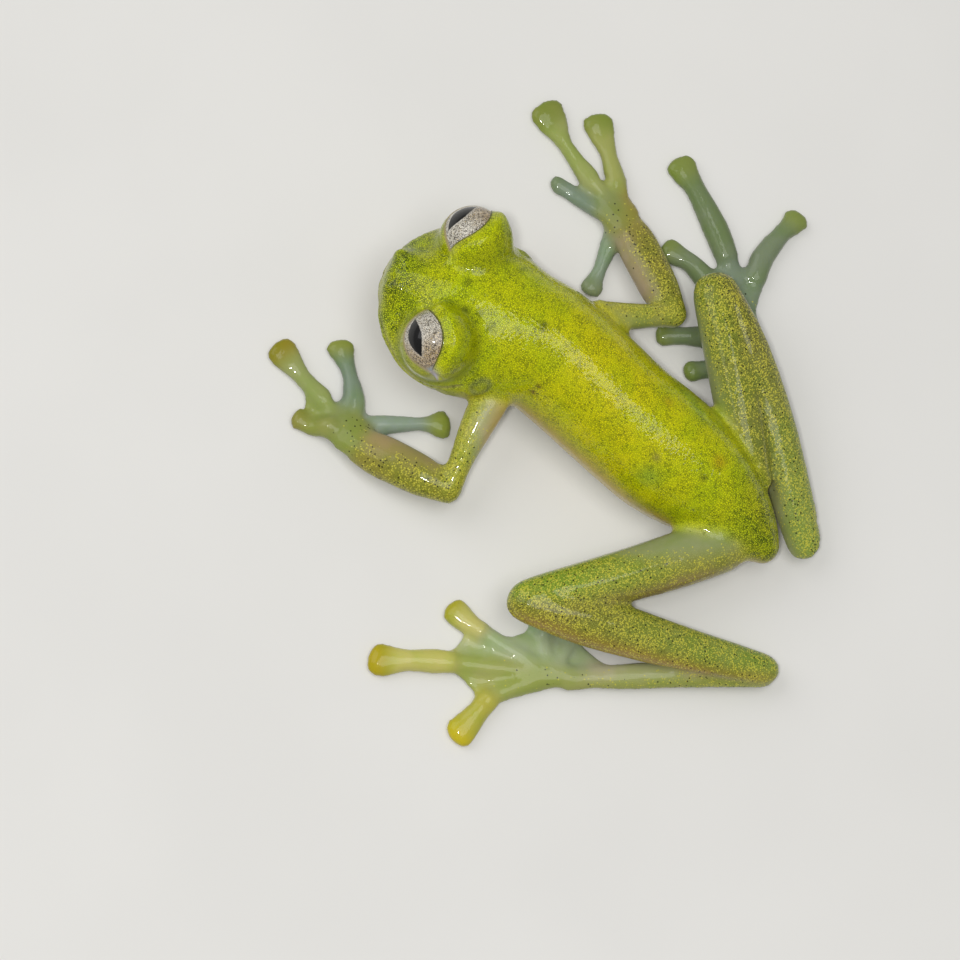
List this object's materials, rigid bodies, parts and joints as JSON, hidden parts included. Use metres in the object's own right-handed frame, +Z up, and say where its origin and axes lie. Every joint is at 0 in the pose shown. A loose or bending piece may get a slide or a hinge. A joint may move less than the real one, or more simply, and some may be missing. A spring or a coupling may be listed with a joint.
{
  "type": "glass frog model",
  "caption": "Life-size still model of a small green glass frog, sitting low with bent limbs, broad toe discs and webbed hind feet.",
  "frame": {"origin": "middle of the frog's outline at floor level", "axes": "+Z up from the floor, the frog faces -Y and its left side is +X"},
  "size_m": [0.0334, 0.0302, 0.0078],
  "materials": {
    "back_skin": "moist, finely granular lime-green skin",
    "limb_skin": "moist, half-clear olive skin with gold grains and dark dots",
    "digit_skin": "moist, half-clear yellow-green skin",
    "web_skin": "moist, half-clear blue-green skin",
    "eye": "wet, silvery iris with a dark level pupil"
  },
  "bodies": {
    "root": {"eye_left": "eye", "eye_right": "eye", "finger_left_1": "digit_skin", "finger_left_2": "digit_skin", "finger_left_3": "digit_skin", "finger_left_4": "digit_skin", "finger_right_1": "digit_skin", "finger_right_2": "digit_skin", "finger_right_3": "digit_skin", "finger_right_4": "digit_skin", "foot_left": "web_skin", "foot_right": "web_skin", "forearm_left": "limb_skin", "forearm_right": "limb_skin", "hand_left": "limb_skin", "hand_right": "limb_skin", "head": "back_skin", "shank_left": "limb_skin", "shank_right": "limb_skin", "tarsus_left": "limb_skin", "tarsus_right": "limb_skin", "thigh_left": "limb_skin", "thigh_right": "limb_skin", "toe_left_1": "digit_skin", "toe_left_2": "digit_skin", "toe_left_3": "digit_skin", "toe_left_4": "digit_skin", "toe_left_5": "digit_skin", "toe_right_1": "digit_skin", "toe_right_2": "digit_skin", "toe_right_3": "digit_skin", "toe_right_4": "digit_skin", "toe_right_5": "digit_skin", "torso": "back_skin", "upper_arm_left": "limb_skin", "upper_arm_right": "limb_skin"}
  },
  "joints": []
}
